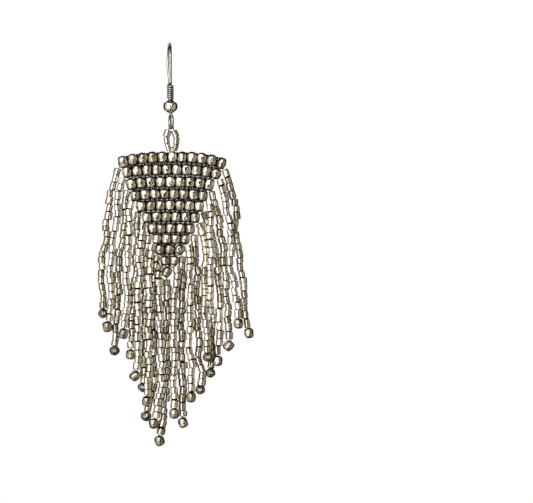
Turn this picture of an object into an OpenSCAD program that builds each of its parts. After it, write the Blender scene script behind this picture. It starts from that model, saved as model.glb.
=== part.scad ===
// Beaded fringe earring: an ear wire, a triangular panel of drilled beads and a fringe of strings.
// X is to the right, Y to the back, Z up. The origin is the inside top of the hook's bend, where it hangs.

/* [Ear wire] */
// Thickness of the ear wire
wire_d = 0.66; // [0.6:0.02:0.7]
// Distance between the front and the rear leg, centre to centre
hook_depth = 8.4; // [8.2:0.1:9]
// Height of the eye's top below the inside top of the bend, to the middle of its wire
stem_drop = 15.62; // [15.58:0.02:15.7]
// Height of the round eye, wire included
eye_h = 3.55; // [3.4:0.05:3.6]
// Turn of the eye about the vertical, seen from above
eye_turn = 13; // [8:1:16]

/* [Coil and ball] */
// Thickness of the coil's wire
coil_wire_d = 0.36; // [0.3:0.02:0.36]
// Number of turns of the coil
coil_turns = 7.5; // [6:0.5:7.5]
// Diameter of the ball
ball_d = 3.0; // [2.8:0.1:3]

/* [Beads] */
// Diameter of a metal-finish bead
bead_d = 1.93; // [1.8:0.01:1.93]
// Length of a metal-finish bead along its hole
bead_h = 2.05; // [1.9:0.05:2.05]
// Diameter of the hole in a metal-finish bead
bead_hole_d = 0.8; // [0.6:0.05:0.8]
// Diameter of a bead of the hanging loop
loop_bead_d = 1.2; // [1.1:0.05:1.2]

/* [Fringe] */
// Diameter of a string of the fringe
string_d = 1.2; // [1:0.05:1.2]
// Gap between a string and the bead at its end
string_gap = 0.14; // [0.12:0.01:0.2]

/* [Hidden] */
$fn = 48;

wire_r = wire_d / 2;
front_y = -hook_depth / 2;
// The hook's plane is turned a little, so that its front leg stands right of its rear leg
leg_x = 0.2;
bend_r = norm([leg_x, front_y]);
bend_turn = atan2(leg_x, -front_y);
bend_z = wire_r - bend_r;
// The stem's foot is a little thinner, from inside the ball to the eye
foot_r = wire_r - 0.03;
foot_h = 3;
// The rear leg leans by the first elbow, towards the right and the back, and its tail by the second
leg_turn = -60;
leg_start = 0.5;
leg_elbow = [6, 4.1];
leg_length = 5.6;
tail_elbow = [8, 14];
// The straight end of the tail, where a guard slides on, is a little thinner
tip_r = wire_r - 0.03;
tip_h = 2;
eye_r = (eye_h - wire_d) / 2;
eye_x = 0.35;
eye_z = -stem_drop - eye_r;
// The swing's axis is the centre of the wire at the eye's lowest point
pivot = [eye_x, front_y, eye_z - eye_r];

coil_gap = 0.05;
coil_r = wire_r + coil_gap + coil_wire_d / 2;
coil_z = -12.0;
coil_h = 3.0;
ball_z = -13.73;
ball_hole_d = wire_d + 0.14;

thread_r = 0.06;
loop_thread_r = 0.1;
loop_arc_r = wire_r + loop_thread_r + 0.1;
loop_hole_d = 0.5;
loop_bead_gap = 0.32;
bead_round = 1.3;
loop_bead_round = 0.85;

// Corners of the hanging loop's legs between their beads, as x and z
left_leg = [[-0.25, -18.95], [-0.68, -20.4], [-0.5, -21.95], [-0.08, -23.4]];
right_leg = [[0.98, -19.1], [1.55, -20.5], [1.5, -22.05], [1.15, -23.45]];

// The panel's rows: beads, middle x, spacing, middle z, drop of the left end, drop of the right end
ROWS = [
  [11, 0.58, 2.17, -24.93, 1.0, 1.3],
  [10, 0.44, 2.18, -27.63, 0.6, 0.9],
  [9, 0.15, 2.16, -30.36, 0.5, 0.6],
  [8, -0.1, 2.13, -33.0, 0.35, 0.4],
  [7, 0.1, 2.14, -35.5, 0.2, 0.2],
  [6, 0.3, 2.13, -38.05, 0.15, 0.1],
  [5, 0.24, 2.16, -40.55, 0.1, 0.1],
  [4, 0.3, 2.08, -42.9, 0, 0],
  [3, 0.02, 2.2, -45.25, 0, 0],
  [2, 0.02, 2.07, -47.65, 0, 0],
];
// A bead leans less than the curve of its row
lean_share = 0.7;
tip_at = [-0.58, -50.15];
tip_lean = 33;

// The strings, from the top row's to the last row's: the end bead's x, depth and z, its lean to the right,
// its tip towards the viewer, and the places that the string passes, as x, depth and z from its top down.
// A depth is the distance behind the front leg of the hook.
LEFT_STRINGS = [
  [[-14.56, 0.8, -59.3], 0, 65, [
    [-11.3, 0.1, -27.3], [-12.7, 0.5, -32.1], [-13.6, 0.75, -37.6], [-14, 0.75, -43.1],
    [-15, 0.75, -48.6], [-14.8, 0.75, -54.1]
  ]],
  [[-13.68, -0.5, -62.2], -8, 20, [
    [-10.2, -0.15, -29.6], [-11.1, -0.6, -32.1], [-11.5, -0.75, -37.6], [-12.4, -0.75, -43.1],
    [-12.9, -0.75, -48.6], [-12.9, -0.75, -54.1], [-12.9, -0.75, -59]
  ]],
  [[-12.1, 0.4, -67.5], 0, 75, [
    [-9.3, 0.3, -32.2], [-9.8, 0.7, -34.8], [-9.9, 0.75, -37.6], [-10.3, 0.75, -43.1],
    [-11.3, 0.75, -48.6], [-11.2, 0.75, -54.1], [-11.6, 0.75, -59.6], [-11.9, 0.7, -64.5]
  ]],
  [[-10.12, -0.9, -63.7], 15, 25, [
    [-8.2, -0.3, -34.6], [-9, -0.8, -37], [-8.8, -0.75, -43.1], [-9.5, -0.75, -48.6],
    [-9.3, -0.75, -54.1], [-9.5, -0.75, -59.6]
  ]],
  [[-8.51, 0.5, -68.3], 5, 10, [
    [-6.9, 0.2, -36.9], [-7.1, 0.7, -39.8], [-7, 0.75, -43.1], [-7.4, 0.75, -48.6], [-7.8, 0.75, -54.1],
    [-8.2, 0.75, -59.6], [-8.4, 0.75, -64.5]
  ]],
  [[-7.55, -0.75, -73], 40, 0, [
    [-5.8, -0.3, -39.4], [-6.4, -0.75, -43.1], [-6.6, -0.75, -48.6], [-6.8, -0.75, -54.1],
    [-7, -0.75, -59.6], [-6.9, -0.75, -65.1], [-7, -0.75, -70]
  ]],
  [[-5.92, 1.2, -75.5], 0, 90, [
    [-4.6, 0.2, -42], [-4.9, 0.5, -44.7], [-5.4, 0.6, -48.6], [-5.5, 0.6, -54.1], [-5.5, 0.6, -59.6],
    [-5.4, 0.6, -65.1], [-5.5, 0.8, -70.6]
  ]],
  [[-4.93, -1.1, -78.6], 10, 20, [
    [-3.8, -0.45, -44.1], [-4.1, -0.7, -46.6], [-4.4, -0.8, -49.3], [-4.5, -0.8, -54.1],
    [-4.4, -0.8, -59.6], [-4.6, -0.8, -65.1], [-4.4, -0.8, -70.6], [-4.8, -1, -75.7]
  ]],
  [[-5.19, 0.5, -81.9], -25, 50, [
    [-2.7, 0.3, -46.6], [-3.2, 0.55, -49.3], [-3.5, 0.55, -54.1], [-3.5, 0.55, -59.6],
    [-3.6, 0.55, -65.1], [-3.4, 0.55, -70.6], [-3.7, 0.8, -76.1], [-4.6, 0.8, -79.4]
  ]],
  [[-3.45, -0.75, -83.5], -5, 0, [
    [-2.1, -0.4, -48.8], [-2.4, -1.15, -50.5], [-2.3, -0.7, -54.1], [-2.1, -0.6, -59.6],
    [-1.9, -0.6, -65.1], [-1.7, -0.6, -70.6], [-1.9, -0.6, -76.1], [-2.8, -0.7, -81]
  ]],
];
RIGHT_STRINGS = [
  [[17.49, 0.5, -63.6], -10, 0, [
    [12.1, 0.1, -27.6], [13.7, 0.5, -32.1], [14.6, 0.75, -37.6], [14.7, 0.75, -43.1],
    [15.7, 0.75, -48.6], [16.2, 0.75, -54.1], [16.7, 0.75, -59.6]
  ]],
  [[15.14, -0.6, -61.5], 0, 0, [
    [11, -0.1, -29.9], [11.8, -0.6, -32.3], [12.9, -0.75, -37.6], [13.8, -0.75, -43.1],
    [13.4, -0.75, -48.6], [14.5, -0.75, -54.1], [15, -0.7, -58.3]
  ]],
  [[13.05, 0.5, -66.4], 40, 0, [
    [9.3, 0.4, -32.4], [10.1, 0.6, -35.4], [10.6, 0.75, -37.6], [11.6, 0.75, -43.1],
    [12.1, 0.75, -48.6], [12.4, 0.75, -54.1], [12.9, 0.75, -59.6], [13.1, 0.6, -63.4]
  ]],
  [[9, 1, -72.4], 0, 60, [
    [8.8, -0.5, -34.5], [9, -1, -37.6], [9.1, -1.1, -43.1], [9.2, -1.1, -48.6], [8.9, -1, -54.1],
    [9.5, 0.1, -59.6], [9.4, 1.5, -65.1], [9.5, 1.7, -68.4]
  ]],
  [[10.65, 0.1, -69.7], 0, 20, [
    [7.4, 0.3, -37], [8.1, 0.7, -38.9], [9.8, 0.75, -43.1], [10.4, 0.75, -48.6], [11.1, 0.75, -54.1],
    [11, 0.6, -59.6], [11, 0.3, -64], [10.7, 0.15, -66.4]
  ]],
  [[8.51, -0.9, -68.9], 0, 75, [
    [6.6, 0, -39.4], [7.7, 0, -43.1], [7.9, 0, -48.6], [7.7, 0, -54.1], [7.9, -0.2, -59.6],
    [8.2, -0.7, -65.1]
  ]],
  [[6.75, 0.1, -76.1], 0, 90, [
    [5.4, 0.2, -42], [5.6, 0.5, -44.7], [6, 0.6, -48.6], [6, 0.6, -54.1], [6.2, 0.6, -59.6],
    [6.5, 0.6, -65.1], [6.6, 0.4, -70], [7.3, 0.1, -73]
  ]],
  [[4.77, -0.6, -77.7], 0, 0, [
    [4, -0.2, -44.3], [4.5, -0.5, -46.9], [4.6, -0.6, -50.8], [4.5, -0.6, -54.1], [4.7, -0.6, -59.6],
    [4.3, -0.6, -65.1], [4.9, -0.6, -70.6], [4.9, -0.6, -74.8]
  ]],
  [[2.99, 0.5, -83.3], -18, 0, [
    [2.8, 0.2, -46.7], [2.7, 0.5, -49.7], [2.9, 0.6, -54.1], [2.6, 0.6, -59.6], [2.6, 0.6, -65.1],
    [2.8, 0.6, -70.6], [2.9, 0.6, -76.1], [2.9, 0.55, -80.1]
  ]],
  [[1.03, -0.75, -81.3], 0, 0, [
    [1.6, -0.3, -49], [1.6, -0.7, -51.9], [1.4, -0.75, -54.1], [0.9, -0.75, -59.6], [1, -0.75, -65.1],
    [1.1, -0.75, -70.6], [0.9, -0.75, -76.1]
  ]],
];
TIP_STRING =
  [[-2.22, 0.4, -87.3], -20, 10, [
    [-0.5, 0.2, -51.7], [-0.6, 0.5, -54.1], [-0.4, 0.55, -59.6], [-0.7, 0.55, -65.1],
    [-0.5, 0.55, -70.6], [-0.8, 0.55, -76.1], [-1.4, 0.5, -81.6]
  ]];

ring_step = 2.6;
string_sides = 8;

function unit(v) = v / norm(v);

// A point's direction along a path, from its neighbours
function heading(path, i) =
  unit(path[min(i + 1, len(path) - 1)] - path[max(i - 1, 0)]);

// A ring of points round a path, with one of its axes across the reference direction
function ring(centre, along, r, sides, reference) =
  let (side = unit(cross(reference, along)), up = cross(along, side))
  [for (k = [0 : sides - 1])
    centre + r * (cos(360 * k / sides) * side + sin(360 * k / sides) * up)];

// A closed tube along a path
module tube(path, r, sides, reference) {
  count = len(path);
  points = [for (i = [0 : count - 1]) each ring(path[i], heading(path, i), r, sides, reference)];
  walls = [for (i = [0 : count - 2], k = [0 : sides - 1])
    let (a = i * sides + k, b = i * sides + (k + 1) % sides)
    each [[a, b, b + sides], [a, b + sides, a + sides]]];
  first_cap = [for (k = [1 : sides - 2]) [0, k + 1, k]];
  last = (count - 1) * sides;
  last_cap = [for (k = [1 : sides - 2]) [last, last + k, last + k + 1]];
  polyhedron(points, [for (face = concat(walls, first_cap, last_cap)) [face[0], face[2], face[1]]]);
}

// Change of x and depth with z at one of a curve's stops, from the stops round it
function slope(stops, i) =
  let (a = stops[max(i - 1, 0)], b = stops[min(i + 1, len(stops) - 1)])
  (b - a) / (b[2] - a[2]);

// Point of the smooth curve through the stops, from top to bottom, at a height z
function curve(stops, z, i = 0) =
  (i < len(stops) - 2 && z < stops[i + 1][2]) ? curve(stops, z, i + 1) :
  let (
    step = stops[i + 1][2] - stops[i][2],
    t = (z - stops[i][2]) / step
  )
  (2 * t ^ 3 - 3 * t ^ 2 + 1) * stops[i] + (t ^ 3 - 2 * t ^ 2 + t) * step * slope(stops, i)
  + (3 * t ^ 2 - 2 * t ^ 3) * stops[i + 1] + (t ^ 3 - t ^ 2) * step * slope(stops, i + 1);

// Place of a bead along its row, from -1 at the left end to 1 at the right end
function along_row(row, i) = 2 * i / (row[0] - 1) - 1;
function row_drop(row, u) = (u < 0 ? row[4] : row[5]) * pow(abs(u), 3);
function row_bead(row, i) =
  let (u = along_row(row, i))
  [row[1] + (i - (row[0] - 1) / 2) * row[2], front_y, row[3] - row_drop(row, u)];
// A bead leans with the curve of its row
function row_lean(row, i) =
  let (u = along_row(row, i), half = row[2] * (row[0] - 1) / 2)
  lean_share * atan((u < 0 ? -row[4] : row[5]) * 3 * u * u / half);
// The mouth of a bead's hole, above it or below it, at a distance from its middle
function mouth(centre, lean, distance) = centre + distance * [sin(lean), 0, cos(lean)];

// Direction of a leaned and tipped bead's hole
function hole_axis(lean, tip) = [cos(tip) * sin(lean), -sin(tip), cos(tip) * cos(lean)];

// How far a bead reaches from its middle in a direction
function reach(axis, direction) =
  let (
    along = abs(axis * direction),
    across = sqrt(max(0, 1 - along ^ 2)),
    shoulder = sqrt(bead_round ^ 2 - (bead_h / 2) ^ 2),
    side = sqrt(bead_round ^ 2 - (bead_d / 2) ^ 2)
  )
  (bead_round * along < bead_h / 2 && bead_round * across < bead_d / 2) ? bead_round
  : max(along * bead_h / 2 + across * shoulder, along * side + across * bead_d / 2);

// Rings of a string: the curve through its places, down to its end bead
function string_path(string) =
  let (
    last = string[3][len(string[3]) - 1],
    back = unit(last - string[0]),
    end = string[0] + (reach(hole_axis(string[1], string[2]), back) + string_gap) * back,
    stops = concat(string[3], [end]),
    count = ceil((stops[0][2] - end[2]) / ring_step)
  )
  [for (i = [0 : count]) curve(stops, stops[0][2] + (end[2] - stops[0][2]) * i / count)];

// A drilled bead: a short cylinder with rounded shoulders, its hole along Z
module bead(d, h, hole_d, shoulder_r) {
  difference() {
    intersection() {
      cylinder(d = d, h = h, center = true);
      sphere(r = shoulder_r);
    }
    cylinder(d = hole_d, h = h + 1, center = true);
  }
}

module metal_bead(centre, lean = 0, tip = 0) {
  translate(centre) rotate([tip, lean, 0]) bead(bead_d, bead_h, bead_hole_d, bead_round);
}

// An elbow of a bend radius and an angle: it starts heading down and turns to the back, then the rest
module elbow(size) {
  translate([0, size[0], 0]) rotate([90, 0, 90]) rotate([0, 0, 180])
    rotate_extrude(angle = size[1]) translate([size[0], 0]) circle(r = wire_r);
  translate([0, size[0] * (1 - cos(size[1])), -size[0] * sin(size[1])]) rotate([size[1], 0, 0]) children();
}

// The ear wire: stem, turned eye, bend, straight rear leg, curved tail and its straight end
module ear_hook() {
  color([0.72, 0.70, 0.66]) union() {
    translate([leg_x, front_y, -stem_drop]) cylinder(r = foot_r, h = foot_h);
    translate([leg_x, front_y, foot_h - 1 - stem_drop])
      cylinder(r = wire_r, h = stem_drop + 1 - foot_h + bend_z);
    translate([eye_x, front_y, eye_z]) rotate([90, 0, 90 + eye_turn])
      rotate_extrude() translate([eye_r, 0]) circle(r = wire_r);
    translate([0, 0, bend_z]) rotate([0, 0, bend_turn]) rotate([90, 0, 90])
      rotate_extrude(angle = 180) translate([bend_r, 0]) circle(r = wire_r);
    translate([-leg_x, -front_y, bend_z - leg_start]) {
      rotate([0, 0, bend_turn]) cylinder(r = wire_r, h = leg_start);
      rotate([0, 0, leg_turn]) elbow(leg_elbow) translate([0, 0, -leg_length]) {
        cylinder(r = wire_r, h = leg_length);
        elbow(tail_elbow) translate([0, 0, -tip_h]) cylinder(r = tip_r, h = tip_h + 0.3);
      }
    }
  }
}

// The fine wire wound round the stem above the ball
module wire_coil() {
  steps = coil_turns * 14;
  path = [for (i = [0 : steps])
    let (turn = 360 * coil_turns * i / steps)
    [leg_x + coil_r * cos(turn), front_y + coil_r * sin(turn), coil_z + coil_h * i / steps]];
  color([0.70, 0.68, 0.63]) tube(path, coil_wire_d / 2, 8, [0, 0, 1]);
}

module ball_bead() {
  color([0.75, 0.74, 0.72]) translate([leg_x, front_y, ball_z]) difference() {
    sphere(d = ball_d);
    cylinder(d = ball_hole_d, h = ball_d + 1, center = true);
  }
}

// Three beads on one leg of the loop, each between two of the leg's corners
module leg_beads(leg) {
  for (i = [0 : len(leg) - 2]) {
    run = leg[i] - leg[i + 1];
    middle = (leg[i] + leg[i + 1]) / 2;
    translate([middle[0], front_y, middle[1]]) rotate([0, atan2(run[0], run[1]), 0])
      bead(loop_bead_d, norm(run) - loop_bead_gap, loop_hole_d, loop_bead_round);
  }
}

module hanger_beads() {
  color([0.66, 0.64, 0.58]) {
    leg_beads(left_leg);
    leg_beads(right_leg);
  }
}

// The loop's thread: out of the middle bead, up the left leg, over the eye's wire and down again
module hanger_thread() {
  middle = row_bead(ROWS[0], 5);
  foot = middle + [0, 0, bead_h / 2 - 0.5];
  arc = [for (a = [190 : -25 : -10]) pivot + loop_arc_r * [cos(a), 0, sin(a)]];
  left = [for (i = [3 : -1 : 0]) [left_leg[i][0], front_y, left_leg[i][1]]];
  right = [for (corner = right_leg) [corner[0], front_y, corner[1]]];
  path = concat(
    [foot - [0.2, 0, 0], foot + [-0.2, 0, 0.5]], left, arc, right,
    [foot + [0.2, 0, 0.5], foot + [0.2, 0, 0]]
  );
  color([0.62, 0.58, 0.62]) tube(path, loop_thread_r, 6, [0, 1, 0]);
}

module panel_row(k) {
  color([0.62, 0.60, 0.54]) for (i = [0 : ROWS[k][0] - 1])
    metal_bead(row_bead(ROWS[k], i), row_lean(ROWS[k], i));
}

// One thread down the panel: through a bead of the top row, then through the beads right below it
module thread_down(first) {
  last = min(len(ROWS) - 1, ROWS[0][0] - 1 - first);
  outside = bead_h / 2 + 0.13;
  inside = 0.3;
  path = [for (k = [0 : last])
    let (
      centre = row_bead(ROWS[k], first),
      lean = row_lean(ROWS[k], first),
      above = k == 0 ? inside : outside,
      below = k == last ? inside : outside
    )
    each [mouth(centre, lean, above), mouth(centre, lean, -below)]];
  tube(path, thread_r, 6, [0, 1, 0]);
}

module panel_thread() {
  color([0.62, 0.58, 0.62]) for (first = [0 : ROWS[0][0] - 1]) thread_down(first);
}

module tip_bead() {
  color([0.62, 0.60, 0.54]) metal_bead([tip_at[0], front_y, tip_at[1]], tip_lean);
}

// The strings and beads of the fringe are placed behind the front leg of the hook
module string_of_beads(string) {
  color([0.80, 0.78, 0.72]) translate([0, front_y, 0])
    tube(string_path(string), string_d / 2, string_sides, [0, 1, 0]);
}

module end_bead(string) {
  color([0.60, 0.58, 0.53]) metal_bead(string[0] + [0, front_y, 0], string[1], string[2]);
}

ear_hook();
wire_coil();
ball_bead();
hanger_beads();
hanger_thread();
panel_thread();
tip_bead();
string_of_beads(TIP_STRING);  // tip_strand
end_bead(TIP_STRING);  // tip_end
for (k = [0 : 9]) {
  number = str(k < 9 ? "0" : "", k + 1);
  panel_row(k);
  string_of_beads(LEFT_STRINGS[k]);
  string_of_beads(RIGHT_STRINGS[k]);
  end_bead(LEFT_STRINGS[k]);
  end_bead(RIGHT_STRINGS[k]);
}
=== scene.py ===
# %% [markdown]
# # A beaded fringe earring
# The earring has three kinds of parts: a bent ear wire with a fine coil and a ball, a triangular panel
# of metal-finish beads sewn in brick stitch, and a fringe of 21 strings of small silver-lined beads.
# The solid model gives the place and size of each part. This lesson dresses it: each cell says what the
# real thing is, how it could be made, and why it is made this way.

# %% Load the solid model
import math
import random

import bpy
from mathutils import Matrix, Vector


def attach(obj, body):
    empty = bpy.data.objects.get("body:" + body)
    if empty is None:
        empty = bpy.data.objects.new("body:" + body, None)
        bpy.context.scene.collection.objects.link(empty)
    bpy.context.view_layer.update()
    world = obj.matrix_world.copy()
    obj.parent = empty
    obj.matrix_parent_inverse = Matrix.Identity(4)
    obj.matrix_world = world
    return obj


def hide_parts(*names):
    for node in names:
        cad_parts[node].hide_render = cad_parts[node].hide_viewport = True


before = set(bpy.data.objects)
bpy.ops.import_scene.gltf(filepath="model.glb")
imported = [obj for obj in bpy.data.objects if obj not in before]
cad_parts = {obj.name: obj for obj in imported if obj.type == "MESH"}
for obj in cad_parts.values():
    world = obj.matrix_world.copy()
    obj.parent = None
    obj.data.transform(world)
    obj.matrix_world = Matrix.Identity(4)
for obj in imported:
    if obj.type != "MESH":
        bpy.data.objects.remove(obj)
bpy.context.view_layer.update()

# %% [markdown]
# ## The camera
# The photo is taken straight from the front with a long lens, so the strings hang parallel. One pixel
# is 0.22 mm at the plane of the panel, and the frame is 533 by 503 pixels. A camera two metres away,
# with a lens that is long enough to fill the frame with those 117 mm, gives the same flat perspective.

# %% The camera
MM = 0.001
FRONT_Y = -4.2
PICTURE_MIDDLE = (21.34, -45.65)
VIEW_WIDTH = 533 * 0.22 * MM
DISTANCE = 2.0
SENSOR = 36

camera = bpy.data.objects.new("camera", bpy.data.cameras.new("camera"))
bpy.context.collection.objects.link(camera)
camera.location = (PICTURE_MIDDLE[0] * MM, FRONT_Y * MM - DISTANCE, PICTURE_MIDDLE[1] * MM)
camera.rotation_euler = (math.pi / 2, 0, 0)
camera.data.sensor_fit = "HORIZONTAL"
camera.data.sensor_width = SENSOR
camera.data.lens = SENSOR * DISTANCE / VIEW_WIDTH
camera.data.clip_start, camera.data.clip_end = 0.05, 20
camera.data.dof.use_dof = False
bpy.context.scene.camera = camera
print("lens, mm:", round(camera.data.lens, 1))

# %% [markdown]
# ## The studio
# Polished metal shows its surroundings, so the lights are what it is painted with. A large white
# softbox beside the camera puts the bright upright patch on every bead, and the camera's own dark lens
# leaves a small dark mark in it. Two long softboxes behind the earring, one above and one below the
# horizon, catch the upper and lower edges that no light from the front can reach.

# %% Softboxes and the lens
TARGET = Vector((0, FRONT_Y * MM, -0.045))


def softbox(name, turn, rise, width, height, glow, tint, reach=1.2):
    """An area light that looks at the earring. Turn goes to the viewer's right, rise goes up, in degrees."""
    light = bpy.data.lights.new(name, "AREA")
    light.shape = "RECTANGLE"
    light.size, light.size_y = width, height
    light.energy = glow * math.pi * width * height
    light.color = tint
    box = bpy.data.objects.new(name, light)
    bpy.context.collection.objects.link(box)
    t, r = math.radians(turn), math.radians(rise)
    towards = Vector((math.sin(t) * math.cos(r), -math.cos(t) * math.cos(r), math.sin(r)))
    box.location = TARGET + reach * towards
    box.rotation_euler = (-towards).to_track_quat("-Z", "Y").to_euler()
    box.visible_camera = False


def stage_paint(name, colour, glow=0.0):
    """A matt paint for what isn't part of the earring."""
    paint = bpy.data.materials.new(name)
    paint.use_nodes = True
    inputs = paint.node_tree.nodes["Principled BSDF"].inputs
    inputs["Base Color"].default_value = (*colour, 1)
    inputs["Roughness"].default_value = 0.9
    inputs["Emission Color"].default_value = (1, 1, 1, 1)
    inputs["Emission Strength"].default_value = glow
    return paint


softbox("softbox_key", -16, 12, 1.55, 1.5, 1.9, (1.0, 0.985, 0.975))
softbox("softbox_high", 178, 32, 1.5, 0.55, 1.7, (1.0, 0.98, 0.95))
softbox("softbox_low", 182, -26, 1.5, 0.5, 1.4, (1.0, 0.97, 0.92))

bpy.ops.object.select_all(action="DESELECT")
bpy.ops.mesh.primitive_circle_add(
    vertices=48, radius=0.24, fill_type="NGON", location=(0, -0.9, -0.045), rotation=(math.pi / 2, 0, 0))
lens = bpy.context.object
lens.name = "dark_lens"
lens.visible_camera = lens.visible_shadow = False
lens.data.materials.append(stage_paint("dark_glass", (0.01, 0.01, 0.01)))

# %% [markdown]
# ## Shader nodes in code
# The room's light and every finish are small networks of nodes. Linking them one by one takes many
# lines, so a node is added here with all that goes into it: a setting, a number, a colour or another
# node's output. Three nodes come back again and again: a sum, a soft fade and a blend of two colours.

# %% Helpers for shader nodes
def feed(tree, socket, value):
    """Links another node's output to an input, or sets the input's own value."""
    if isinstance(value, bpy.types.NodeSocket):
        tree.links.new(value, socket)
    else:
        socket.default_value = value


def set_up(tree, node, **values):
    """Gives a node its settings and, by name, what goes into its inputs."""
    for key, value in values.items():
        if hasattr(node, key):
            setattr(node, key, value)
        else:
            feed(tree, node.inputs[key.replace("_", " ")], value)
    return node


def add(tree, kind, **values):
    return set_up(tree, tree.nodes.new(kind), **values)


def maths(tree, operation, *values):
    """The result of a sum of outputs and plain numbers."""
    node = add(tree, "ShaderNodeMath", operation=operation)
    for socket, value in zip(node.inputs, values):
        feed(tree, socket, value)
    return node.outputs[0]


def fade(tree, value, start, end, low=0.0, high=1.0):
    """A number that goes softly from low to high while the value goes from start to end."""
    return add(tree, "ShaderNodeMapRange", interpolation_type="SMOOTHSTEP", Value=value, From_Min=start,
               From_Max=end, To_Min=low, To_Max=high).outputs["Result"]


def blend_colours(tree, mask, first, second):
    """The first colour where the mask is 0, the second where it is 1. Either may be an output."""
    mix = add(tree, "ShaderNodeMix", data_type="RGBA", Factor=mask)
    for socket, colour in zip(mix.inputs[6:8], (first, second)):
        feed(tree, socket, (*colour, 1) if isinstance(colour, tuple) else colour)
    return mix.outputs[2]


# %% [markdown]
# ## The room
# A pale warm tent closes the front half of the room and gives the beige flanks, darker to the viewer's
# right, as in the photo. What lies behind a bead is reflected at its very edge, so the far half is dark
# and draws dark outlines. Only straight behind, where the front of the earring hardly looks, a faint
# glow lights its back. A slanted black card draws a soft dark streak. The background itself is white
# only for the camera, as in a photo with the object cut out.

# %% The room: a warm tent in front, dark behind
CARD_SLANT, CARD_AT, CARD_HALF, CARD_SOFT = -0.5, 0.45, 0.16, 0.05

world = bpy.data.worlds.new("room")
bpy.context.scene.world = world
world.use_nodes = True
room = world.node_tree
room.nodes.clear()
way = add(room, "ShaderNodeTexCoord").outputs["Generated"]
x, y, z = add(room, "ShaderNodeSeparateXYZ", Vector=way).outputs

front, behind = fade(room, y, -0.11, 0.2, 0.53, 0.02), fade(room, y, 0.84, 0.98, 0.0, 0.27)
below, above = fade(room, z, -1.0, -0.5, 0.32, 1.0), fade(room, z, 0.68, 0.9, 1.0, 0.1)
from_card = maths(room, "SUBTRACT", maths(room, "MULTIPLY_ADD", z, CARD_SLANT, x), CARD_AT)
card = fade(room, maths(room, "ABSOLUTE", from_card), CARD_HALF - CARD_SOFT, CARD_HALF + CARD_SOFT, 0.16)
glow = maths(room, "ADD", front, behind)
for share in (below, above, card):
    glow = maths(room, "MULTIPLY", glow, share)
warmth = blend_colours(room, fade(room, x, -0.25, 0.3), (1.8, 1.75, 1.62), (0.84, 0.78, 0.64))

tent = add(room, "ShaderNodeBackground", Color=warmth, Strength=glow)
white = add(room, "ShaderNodeBackground", Color=(1, 1, 1, 1))
seen = add(room, "ShaderNodeLightPath").outputs["Is Camera Ray"]
either = add(room, "ShaderNodeMixShader")
for socket, value in zip(either.inputs, (seen, tent.outputs[0], white.outputs[0])):
    feed(room, socket, value)
add(room, "ShaderNodeOutputWorld", Surface=either.outputs[0])
print("room shader nodes:", len(room.nodes))

# %% The floor
bpy.ops.object.select_all(action="DESELECT")
bpy.ops.mesh.primitive_plane_add(size=1.2, location=(0, 0, -0.13))
floor = bpy.context.object
floor.name = "floor"
floor.visible_glossy = False
floor.data.materials.append(stage_paint("paper", (0.92, 0.92, 0.91), 0.75))
bpy.context.scene.view_settings.view_transform = "Standard"
print("floor, m:", [round(d, 2) for d in floor.dimensions])

# %% [markdown]
# ## Working habits
# The parts are a fraction of a millimetre thick, and mesh tools are unsure of themselves at that size.
# So every piece is modelled a thousand times larger, one unit to the millimetre, at its real place, and
# is shrunk in its mesh at the end. Everything is deselected before a new primitive, because the solid
# model arrives selected. Points, edges and faces are then picked in code by where they are.

# %% Picking and finishing helpers
def clear_selection():
    if bpy.context.object and bpy.context.object.mode != "OBJECT":
        bpy.ops.object.mode_set(mode="OBJECT")
    bpy.ops.object.select_all(action="DESELECT")


def take(piece):
    """Selects one piece alone and makes it the active one."""
    clear_selection()
    piece.select_set(True)
    bpy.context.view_layer.objects.active = piece


def settle(piece):
    """Moves a piece's place, turn and size from the object into its mesh."""
    take(piece)
    bpy.ops.object.transform_apply(location=True, rotation=True, scale=True)
    return piece


def pick(piece, test):
    """Opens edit mode with only those points selected that pass the test, and all that joins them."""
    bpy.context.view_layer.objects.active = piece
    bpy.ops.object.mode_set(mode="EDIT")
    bpy.ops.mesh.select_mode(type="VERT")
    bpy.ops.mesh.select_all(action="DESELECT")
    bpy.ops.object.mode_set(mode="OBJECT")
    for point in piece.data.vertices:
        point.select = test(point.co)
    bpy.ops.object.mode_set(mode="EDIT")
    bpy.ops.mesh.select_mode(type="VERT")


def close_up(piece):
    """Merges the seam that a spin leaves, turns all faces outwards and leaves edit mode."""
    bpy.ops.mesh.select_mode(type="VERT")
    bpy.ops.mesh.select_all(action="SELECT")
    bpy.ops.mesh.remove_doubles(threshold=0.001)
    bpy.ops.mesh.normals_make_consistent(inside=False)
    bpy.ops.object.mode_set(mode="OBJECT")


def smooth(piece, angle):
    take(piece)
    bpy.ops.object.shade_smooth_by_angle(angle=math.radians(angle))


def to_metres(piece):
    piece.data.transform(Matrix.Scale(MM, 4))
    return piece


def dress(piece, body, slot, *replaced):
    """Hangs the piece on the body it rides on and hides the solid model's parts that it stands for. The slot
    argument is not used.
    """
    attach(piece, body)
    if replaced:
        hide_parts(*replaced)
    return piece


def size_of(piece):
    return [round(d / MM, 2) for d in piece.dimensions]


# %% [markdown]
# ## The ear wire
# It is one round wire: a stem, a bend over the ear, a straight rear leg with a curved tail, and at the
# bottom an eye that is turned round like a small loop. A bent wire is a circle drawn along a path, so
# it is made the way it is bent: a circle is extruded where the wire is straight and spun where it is
# curved. The loop of the eye nearly touches the stem, as the jeweller's pliers leave it. The rear leg
# is bowed a little to the left, because such fine wire never stays quite true.

# %% The ear wire
UP = Vector((0, 0, 1))
WIRE_R = 0.33
LEG_X = 0.2
SEAM_Z = -12.4
BEND_R = math.hypot(LEG_X, FRONT_Y)
BEND_Z = WIRE_R - BEND_R
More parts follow.
